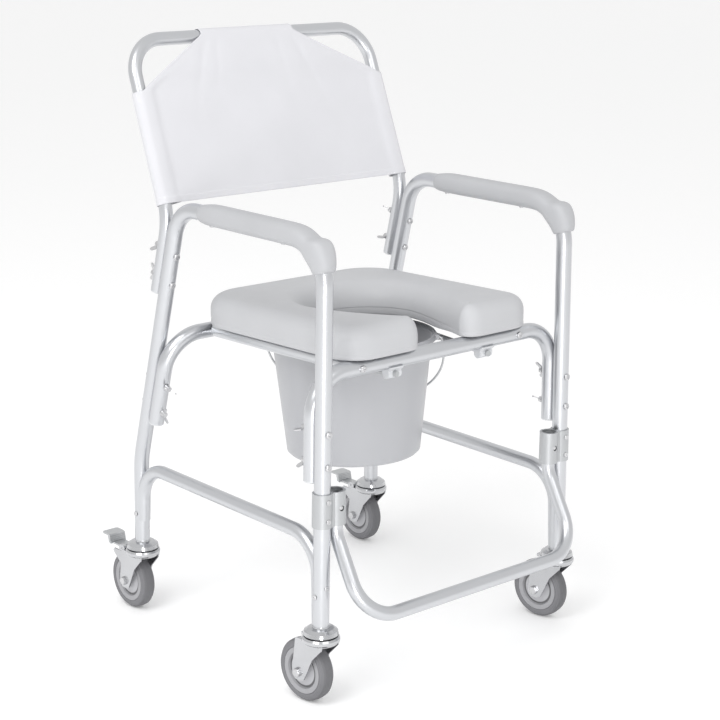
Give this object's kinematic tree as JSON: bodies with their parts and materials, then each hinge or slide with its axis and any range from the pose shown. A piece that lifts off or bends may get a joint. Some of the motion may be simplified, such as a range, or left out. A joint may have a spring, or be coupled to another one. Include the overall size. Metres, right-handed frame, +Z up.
{
  "type": "commode chair",
  "caption": "Wheeled commode and shower chair: bent aluminium tube frame, sling back, horseshoe padded seat over a pail, footrest and braked casters.",
  "frame": {"origin": "on the floor under the middle of the chair", "axes": "+Z up, the sitter faces -Y, +X is the sitter's left"},
  "size_m": [0.5748, 0.6614, 0.9853],
  "materials": {
    "anodised_tube": "satin anodised",
    "bracket_aluminium": "cast, satin",
    "ring_steel": "satin grey",
    "grey_plastic": "matte",
    "zinc_steel": "zinc plated",
    "caster_chrome": "bright",
    "hub_plastic": "matte",
    "grey_tyre": "non-marking grey rubber",
    "pedal_steel": "zinc plated, ribbed",
    "armrest_foam": "integral skin foam",
    "seat_foam": "integral skin foam",
    "board_plastic": "matte",
    "pail_plastic": "smooth moulded",
    "sling_fabric": "woven nylon"
  },
  "bodies": {
    "frame": {"armrest_screws": "zinc_steel", "back_frame": "anodised_tube", "back_frame_plugs": "grey_plastic", "back_sling": "sling_fabric", "caster_sockets": "grey_plastic", "caster_stems": "caster_chrome", "footrest_bracket_rivets": "zinc_steel", "frame_bolts": "zinc_steel", "frame_wing_nuts": "zinc_steel", "front_ring_clips": "grey_plastic", "front_seat_hoop": "anodised_tube", "hoop_plugs": "grey_plastic", "left_armrest": "armrest_foam", "left_footrest_bracket": "bracket_aluminium", "left_lower_rail": "anodised_tube", "left_seat_rail": "anodised_tube", "left_side_frame": "anodised_tube", "lower_rail_rivets": "zinc_steel", "pail_ring": "ring_steel", "rear_ring_clips": "grey_plastic", "rear_seat_hoop": "anodised_tube", "right_armrest": "armrest_foam", "right_footrest_bracket": "bracket_aluminium", "right_lower_rail": "anodised_tube", "right_seat_rail": "anodised_tube", "right_side_frame": "anodised_tube", "seat_rail_bolts": "zinc_steel", "seat_rail_inserts": "zinc_steel"},
    "right_front_caster": {"right_front_fork": "caster_chrome", "right_front_axle_bolt": "zinc_steel"},
    "right_front_wheel": {"right_front_wheel_hub": "hub_plastic", "right_front_tyre": "grey_tyre"},
    "left_front_caster": {"left_front_fork": "caster_chrome", "left_front_axle_bolt": "zinc_steel"},
    "left_front_wheel": {"left_front_wheel_hub": "hub_plastic", "left_front_tyre": "grey_tyre"},
    "right_rear_caster": {"right_rear_fork": "caster_chrome", "right_rear_axle_bolt": "zinc_steel", "right_rear_pedal_pin": "zinc_steel"},
    "right_rear_wheel": {"right_rear_wheel_hub": "hub_plastic", "right_rear_tyre": "grey_tyre"},
    "right_rear_brake": {"right_rear_brake_pedal": "pedal_steel"},
    "left_rear_caster": {"left_rear_fork": "caster_chrome", "left_rear_axle_bolt": "zinc_steel", "left_rear_pedal_pin": "zinc_steel"},
    "left_rear_wheel": {"left_rear_wheel_hub": "hub_plastic", "left_rear_tyre": "grey_tyre"},
    "left_rear_brake": {"left_rear_brake_pedal": "pedal_steel"},
    "footrest": {"footrest_frame": "anodised_tube", "footrest_springs": "zinc_steel"},
    "right_footrest_catch": {"right_footrest_button": "zinc_steel"},
    "left_footrest_catch": {"left_footrest_button": "zinc_steel"},
    "seat": {"seat_pad": "seat_foam", "seat_board": "board_plastic", "rear_seat_clips": "grey_plastic", "seat_clip_screws": "zinc_steel"},
    "pail": {"bucket": "pail_plastic"},
    "bail": {"bucket_bail": "zinc_steel"}
  },
  "joints": [
    {"name": "right_front_swivel", "type": "hinge", "parent": "frame", "child": "right_front_caster", "pos_m": [-0.2579, -0.2501, 0.11], "axis": [0, 0, 1], "continuous": true},
    {"name": "right_front_roll", "type": "hinge", "parent": "right_front_caster", "child": "right_front_wheel", "pos_m": [-0.26092, -0.21985, 0.05], "axis": [0.9951, 0.0993, 0], "continuous": true},
    {"name": "left_front_swivel", "type": "hinge", "parent": "frame", "child": "left_front_caster", "pos_m": [0.2579, -0.2501, 0.11], "axis": [0, 0, 1], "continuous": true},
    {"name": "left_front_roll", "type": "hinge", "parent": "left_front_caster", "child": "left_front_wheel", "pos_m": [0.25314, -0.22007, 0.05], "axis": [0.9877, 0.1564, 0], "continuous": true},
    {"name": "right_rear_swivel", "type": "hinge", "parent": "frame", "child": "right_rear_caster", "pos_m": [-0.2579, 0.2295, 0.11], "axis": [0, 0, 1], "continuous": true},
    {"name": "right_rear_roll", "type": "hinge", "parent": "right_rear_caster", "child": "right_rear_wheel", "pos_m": [-0.25854, 0.25989, 0.05], "axis": [0.9998, 0.0209, 0], "continuous": true},
    {"name": "right_rear_brake_press", "type": "hinge", "parent": "right_rear_caster", "child": "right_rear_brake", "pos_m": [-0.2587, 0.26749, 0.1085], "axis": [0.9998, 0.0209, 0], "range_deg": [-12, 0]},
    {"name": "left_rear_swivel", "type": "hinge", "parent": "frame", "child": "left_rear_caster", "pos_m": [0.2579, 0.2295, 0.11], "axis": [0, 0, 1], "continuous": true},
    {"name": "left_rear_roll", "type": "hinge", "parent": "left_rear_caster", "child": "left_rear_wheel", "pos_m": [0.25758, 0.2599, 0.05], "axis": [0.9999, 0.0105, 0], "continuous": true},
    {"name": "left_rear_brake_press", "type": "hinge", "parent": "left_rear_caster", "child": "left_rear_brake", "pos_m": [0.2575, 0.2675, 0.1085], "axis": [0.9999, 0.0105, 0], "range_deg": [-12, 0]},
    {"name": "footrest_height", "type": "slide", "parent": "frame", "child": "footrest", "axis": [0, 0, 1], "range_m": [-0.0254, 0]},
    {"name": "right_footrest_button_press", "type": "slide", "parent": "footrest", "child": "right_footrest_catch", "axis": [0, 1, 0], "range_m": [0, 0.0032], "stiffness_N_per_m": 800},
    {"name": "left_footrest_button_press", "type": "slide", "parent": "footrest", "child": "left_footrest_catch", "axis": [0, 1, 0], "range_m": [0, 0.0032], "stiffness_N_per_m": 800},
    {"name": "seat_lift", "type": "hinge", "parent": "frame", "child": "seat", "pos_m": [0, 0.14327, 0.50101], "axis": [-1, 0, 0], "range_deg": [0, 65]},
    {"name": "pail_lift", "type": "slide", "parent": "frame", "child": "pail", "axis": [0, 0.0282, 0.9996], "range_m": [0, 0.008]},
    {"name": "bail_swing", "type": "hinge", "parent": "pail", "child": "bail", "pos_m": [0, -0.01666, 0.49552], "axis": [0.6508, -0.759, 0.0214], "range_deg": [0, 5]}
  ]
}
